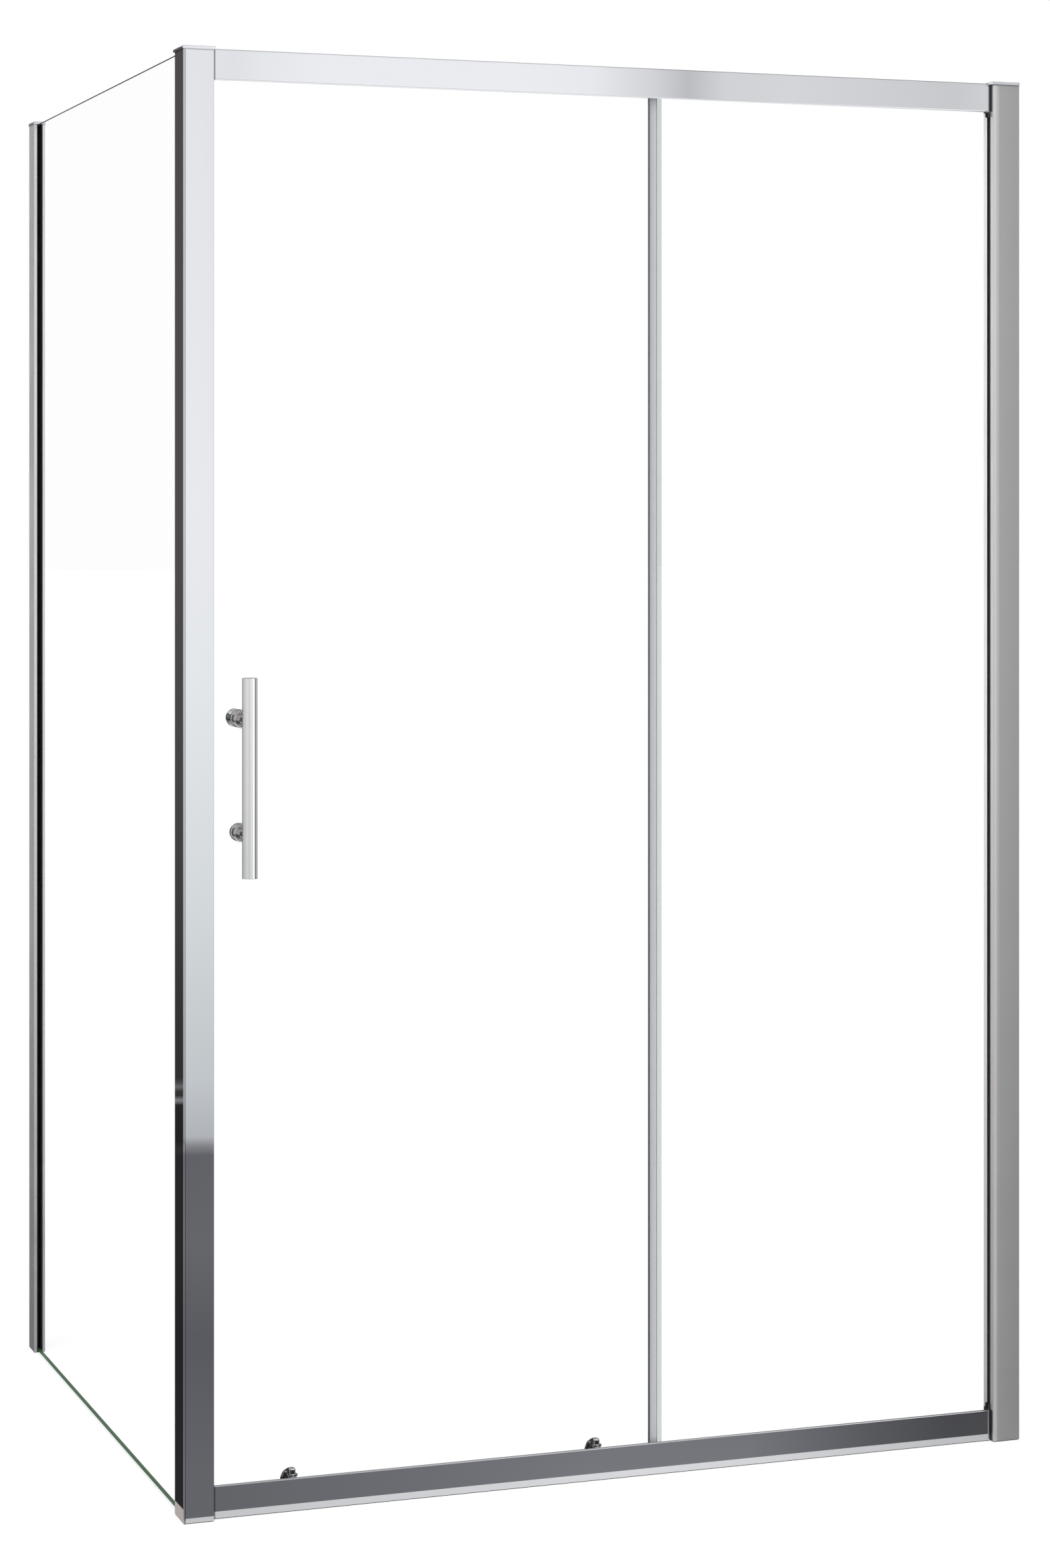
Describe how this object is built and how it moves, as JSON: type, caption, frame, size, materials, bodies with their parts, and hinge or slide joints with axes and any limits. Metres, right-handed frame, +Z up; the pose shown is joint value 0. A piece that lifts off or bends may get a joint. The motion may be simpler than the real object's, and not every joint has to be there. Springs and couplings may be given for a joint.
{
  "type": "shower enclosure with sliding door",
  "caption": "Corner shower enclosure: chrome frame, front with a sliding glass door beside a fixed pane, and one glass side panel.",
  "frame": {"origin": "centre of the corner post's foot, on the shower tray", "axes": "+X along the front to the wall that it meets, +Y from the front to the wall that the side panel meets, +Z up"},
  "size_m": [1.202, 1.021, 1.9],
  "materials": {
    "polished_aluminium": "bright polished anodised",
    "satin_aluminium": "soft bright anodised",
    "mill_aluminium": "plain anodised",
    "cap_chrome": "polished",
    "clear_glass": "clear toughened glass, green at the edges",
    "black_gasket": "matt",
    "dark_plastic": "matt",
    "grey_seal": "satin",
    "clear_seal": "translucent",
    "screw_steel": "plain",
    "cover_plastic": "gloss",
    "stop_rubber": "matt",
    "handle_chrome": "polished",
    "washer_plastic": "soft, matt",
    "roller_chrome": "polished",
    "button_chrome": "polished",
    "axle_steel": "plain",
    "spring_steel": "plain",
    "wheel_plastic": "smooth"
  },
  "bodies": {
    "frame": {"bottom_rail": "polished_aluminium", "corner_post": "polished_aluminium", "corner_post_cap": "cap_chrome", "corner_post_cover": "polished_aluminium", "corner_post_foot": "dark_plastic", "fixed_edge_seal": "grey_seal", "fixed_glass": "clear_glass", "fixed_glass_end_blocks": "dark_plastic", "fixed_glass_gasket": "black_gasket", "fixed_glass_setting_blocks": "dark_plastic", "front_adjust_covers": "cover_plastic", "front_adjust_screws": "screw_steel", "front_wall_channel": "mill_aluminium", "header_end_cap": "dark_plastic", "header_rail": "polished_aluminium", "header_screws": "screw_steel", "header_stop_left": "stop_rubber", "header_stop_right": "stop_rubber", "rail_screws": "screw_steel", "side_adjust_covers": "cover_plastic", "side_adjust_screws": "screw_steel", "side_glass": "clear_glass", "side_glass_post_gasket": "black_gasket", "side_glass_wall_gasket": "black_gasket", "side_profile_cap": "cap_chrome", "side_wall_channel": "mill_aluminium", "side_wall_profile": "satin_aluminium", "wall_post": "satin_aluminium", "wall_post_cap": "cap_chrome"},
    "door": {"door_glass": "clear_glass", "door_leading_seal": "clear_seal", "door_edge_seal": "clear_seal", "handle_bar": "handle_chrome", "handle_necks": "handle_chrome", "handle_rosettes": "handle_chrome", "handle_washers": "washer_plastic", "handle_studs": "screw_steel", "inner_pull_knob": "handle_chrome", "inner_fixing_cap": "handle_chrome", "hanger_left": "roller_chrome", "hanger_right": "roller_chrome", "hanger_axles": "axle_steel", "hanger_front_caps": "roller_chrome", "hanger_washers": "washer_plastic", "roller_housing_left": "roller_chrome", "roller_housing_right": "roller_chrome", "roller_front_caps": "roller_chrome", "roller_washers": "washer_plastic", "release_spring_left": "spring_steel", "release_spring_right": "spring_steel"},
    "release_left": {"release_button_left": "button_chrome", "release_plunger_left": "axle_steel"},
    "release_right": {"release_button_right": "button_chrome", "release_plunger_right": "axle_steel"},
    "top_wheel_left_a": {"top_wheel_left_a": "wheel_plastic"},
    "top_wheel_left_b": {"top_wheel_left_b": "wheel_plastic"},
    "top_wheel_right_a": {"top_wheel_right_a": "wheel_plastic"},
    "top_wheel_right_b": {"top_wheel_right_b": "wheel_plastic"},
    "bottom_wheel_left": {"bottom_wheel_left": "wheel_plastic"},
    "bottom_wheel_right": {"bottom_wheel_right": "wheel_plastic"}
  },
  "joints": [
    {"name": "door_slide", "type": "slide", "parent": "frame", "child": "door", "axis": [1, 0, 0], "range_m": [0, 0.48]},
    {"name": "top_wheel_left_a_turn", "type": "hinge", "parent": "door", "child": "top_wheel_left_a", "pos_m": [0.1225, 0.0169, 1.8756], "axis": [0, 1, 0], "range_deg": [-10, 3540]},
    {"name": "top_wheel_left_b_turn", "type": "hinge", "parent": "door", "child": "top_wheel_left_b", "pos_m": [0.1485, 0.0169, 1.8756], "axis": [0, 1, 0], "range_deg": [-10, 3540]},
    {"name": "top_wheel_right_a_turn", "type": "hinge", "parent": "door", "child": "top_wheel_right_a", "pos_m": [0.5485, 0.0169, 1.8756], "axis": [0, 1, 0], "range_deg": [-10, 3540]},
    {"name": "top_wheel_right_b_turn", "type": "hinge", "parent": "door", "child": "top_wheel_right_b", "pos_m": [0.5745, 0.0169, 1.8756], "axis": [0, 1, 0], "range_deg": [-10, 3540]},
    {"name": "release_left_press", "type": "slide", "parent": "door", "child": "release_left", "axis": [0, 0, -1], "range_m": [0, 0.004], "stiffness_N_per_m": 600, "springref_m": -0.006, "deforming": ["release_spring_left"]},
    {"name": "release_right_press", "type": "slide", "parent": "door", "child": "release_right", "axis": [0, 0, -1], "range_m": [0, 0.004], "stiffness_N_per_m": 600, "springref_m": -0.006, "deforming": ["release_spring_right"]},
    {"name": "bottom_wheel_left_turn", "type": "hinge", "parent": "release_left", "child": "bottom_wheel_left", "pos_m": [0.1355, 0.0158, 0.0127], "axis": [0, 1, 0], "range_deg": [-4590, 10]},
    {"name": "bottom_wheel_right_turn", "type": "hinge", "parent": "release_right", "child": "bottom_wheel_right", "pos_m": [0.5615, 0.0158, 0.0127], "axis": [0, 1, 0], "range_deg": [-4590, 10]}
  ],
  "couplings": [
    {"joint": "top_wheel_left_a_turn", "follows": "door_slide", "rad_per_m": 128.21},
    {"joint": "top_wheel_left_b_turn", "follows": "door_slide", "rad_per_m": 128.21},
    {"joint": "top_wheel_right_a_turn", "follows": "door_slide", "rad_per_m": 128.21},
    {"joint": "top_wheel_right_b_turn", "follows": "door_slide", "rad_per_m": 128.21},
    {"joint": "bottom_wheel_left_turn", "follows": "door_slide", "rad_per_m": -166.67},
    {"joint": "bottom_wheel_right_turn", "follows": "door_slide", "rad_per_m": -166.67}
  ]
}
